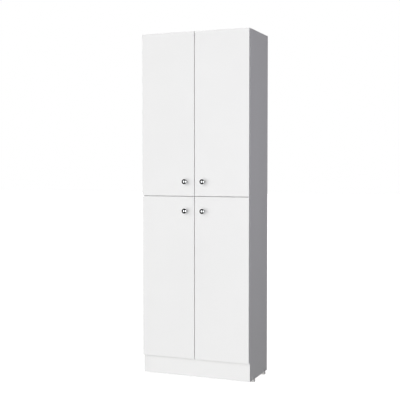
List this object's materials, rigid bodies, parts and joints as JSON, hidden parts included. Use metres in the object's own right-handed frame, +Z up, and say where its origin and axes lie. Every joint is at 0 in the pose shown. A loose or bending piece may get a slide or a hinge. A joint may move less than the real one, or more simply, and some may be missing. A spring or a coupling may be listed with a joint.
{
  "type": "pantry cabinet",
  "caption": "Tall narrow freestanding cabinet with two columns of hinged doors in two rows, round metal knobs, inner shelves, a plinth and small glide feet.",
  "frame": {"origin": "on the floor, under the middle of the overall box", "axes": "+Z up, doors face -Y, +X to the right seen from the front"},
  "size_m": [0.614, 0.3324, 1.811],
  "materials": {
    "carcass_board": "smooth satin white melamine on chipboard",
    "door_board": "smooth satin white melamine on chipboard",
    "back_board": "white lacquered hardboard",
    "knob_chrome": "polished",
    "zinc_screws": "zinc plated",
    "nail_steel": "plain bright steel",
    "foot_plastic": "moulded, slightly satin",
    "dowel_wood": "plain beech",
    "cam_zinc": "die-cast, dull",
    "pin_steel": "nickel plated",
    "hinge_nickel": "nickel plated pressed sheet",
    "buffer_rubber": "clear soft pads"
  },
  "bodies": {
    "carcass": {"back_nails": "nail_steel", "back_panel_lower": "back_board", "back_panel_upper": "back_board", "bottom_panel": "carcass_board", "bracket_screw": "zinc_screws", "cam_bolts": "zinc_screws", "cam_locks": "cam_zinc", "foot_front_left": "foot_plastic", "foot_front_right": "foot_plastic", "foot_nails": "nail_steel", "foot_rear_left": "foot_plastic", "foot_rear_right": "foot_plastic", "hinge_arm_screws": "zinc_screws", "hinge_arms": "hinge_nickel", "hinge_plate_screws": "zinc_screws", "hinge_plates": "hinge_nickel", "middle_shelf": "carcass_board", "plinth": "carcass_board", "shelf_lower_1": "carcass_board", "shelf_lower_2": "carcass_board", "shelf_pins": "pin_steel", "shelf_upper_1": "carcass_board", "shelf_upper_2": "carcass_board", "side_panel_left": "carcass_board", "side_panel_right": "carcass_board", "top_panel": "carcass_board", "wall_bracket": "hinge_nickel", "wooden_dowels": "dowel_wood"},
    "link_lower_left": {"hinge_links_lower_left": "hinge_nickel"},
    "link_lower_right": {"hinge_links_lower_right": "hinge_nickel"},
    "link_upper_left": {"hinge_links_upper_left": "hinge_nickel"},
    "link_upper_right": {"hinge_links_upper_right": "hinge_nickel"},
    "door_lower_left": {"door_lower_left": "door_board", "knob_lower_left": "knob_chrome", "knob_screw_lower_left": "zinc_screws", "door_buffers_lower_left": "buffer_rubber", "hinge_cups_lower_left": "hinge_nickel", "cup_screws_lower_left": "zinc_screws"},
    "door_lower_right": {"door_lower_right": "door_board", "knob_lower_right": "knob_chrome", "knob_screw_lower_right": "zinc_screws", "door_buffers_lower_right": "buffer_rubber", "hinge_cups_lower_right": "hinge_nickel", "cup_screws_lower_right": "zinc_screws"},
    "door_upper_left": {"door_upper_left": "door_board", "knob_upper_left": "knob_chrome", "knob_screw_upper_left": "zinc_screws", "door_buffers_upper_left": "buffer_rubber", "hinge_cups_upper_left": "hinge_nickel", "cup_screws_upper_left": "zinc_screws"},
    "door_upper_right": {"door_upper_right": "door_board", "knob_upper_right": "knob_chrome", "knob_screw_upper_right": "zinc_screws", "door_buffers_upper_right": "buffer_rubber", "hinge_cups_upper_right": "hinge_nickel", "cup_screws_upper_right": "zinc_screws"}
  },
  "joints": [
    {"name": "hinge_link_lower_left", "type": "hinge", "parent": "carcass", "child": "link_lower_left", "pos_m": [-0.27552, -0.13164, 0.533], "axis": [0, 0, 1], "range_deg": [0, 38.75]},
    {"name": "door_swing_lower_left", "type": "hinge", "parent": "link_lower_left", "child": "door_lower_left", "pos_m": [-0.29004, -0.13094, 0.533], "axis": [0, 0, -1], "range_deg": [0, 143.7]},
    {"name": "hinge_link_lower_right", "type": "hinge", "parent": "carcass", "child": "link_lower_right", "pos_m": [0.27552, -0.13164, 0.533], "axis": [0, 0, -1], "range_deg": [0, 38.75]},
    {"name": "door_swing_lower_right", "type": "hinge", "parent": "link_lower_right", "child": "door_lower_right", "pos_m": [0.29004, -0.13094, 0.533], "axis": [0, 0, 1], "range_deg": [0, 143.7]},
    {"name": "hinge_link_upper_left", "type": "hinge", "parent": "carcass", "child": "link_upper_left", "pos_m": [-0.27552, -0.13164, 1.386], "axis": [0, 0, 1], "range_deg": [0, 38.75]},
    {"name": "door_swing_upper_left", "type": "hinge", "parent": "link_upper_left", "child": "door_upper_left", "pos_m": [-0.29004, -0.13094, 1.386], "axis": [0, 0, -1], "range_deg": [0, 143.7]},
    {"name": "hinge_link_upper_right", "type": "hinge", "parent": "carcass", "child": "link_upper_right", "pos_m": [0.27552, -0.13164, 1.386], "axis": [0, 0, -1], "range_deg": [0, 38.75]},
    {"name": "door_swing_upper_right", "type": "hinge", "parent": "link_upper_right", "child": "door_upper_right", "pos_m": [0.29004, -0.13094, 1.386], "axis": [0, 0, 1], "range_deg": [0, 143.7]}
  ],
  "couplings": [
    {"joint": "hinge_link_lower_left", "follows": "door_swing_lower_left", "ratio": 0.26954},
    {"joint": "hinge_link_lower_right", "follows": "door_swing_lower_right", "ratio": 0.26954},
    {"joint": "hinge_link_upper_left", "follows": "door_swing_upper_left", "ratio": 0.26954},
    {"joint": "hinge_link_upper_right", "follows": "door_swing_upper_right", "ratio": 0.26954}
  ]
}
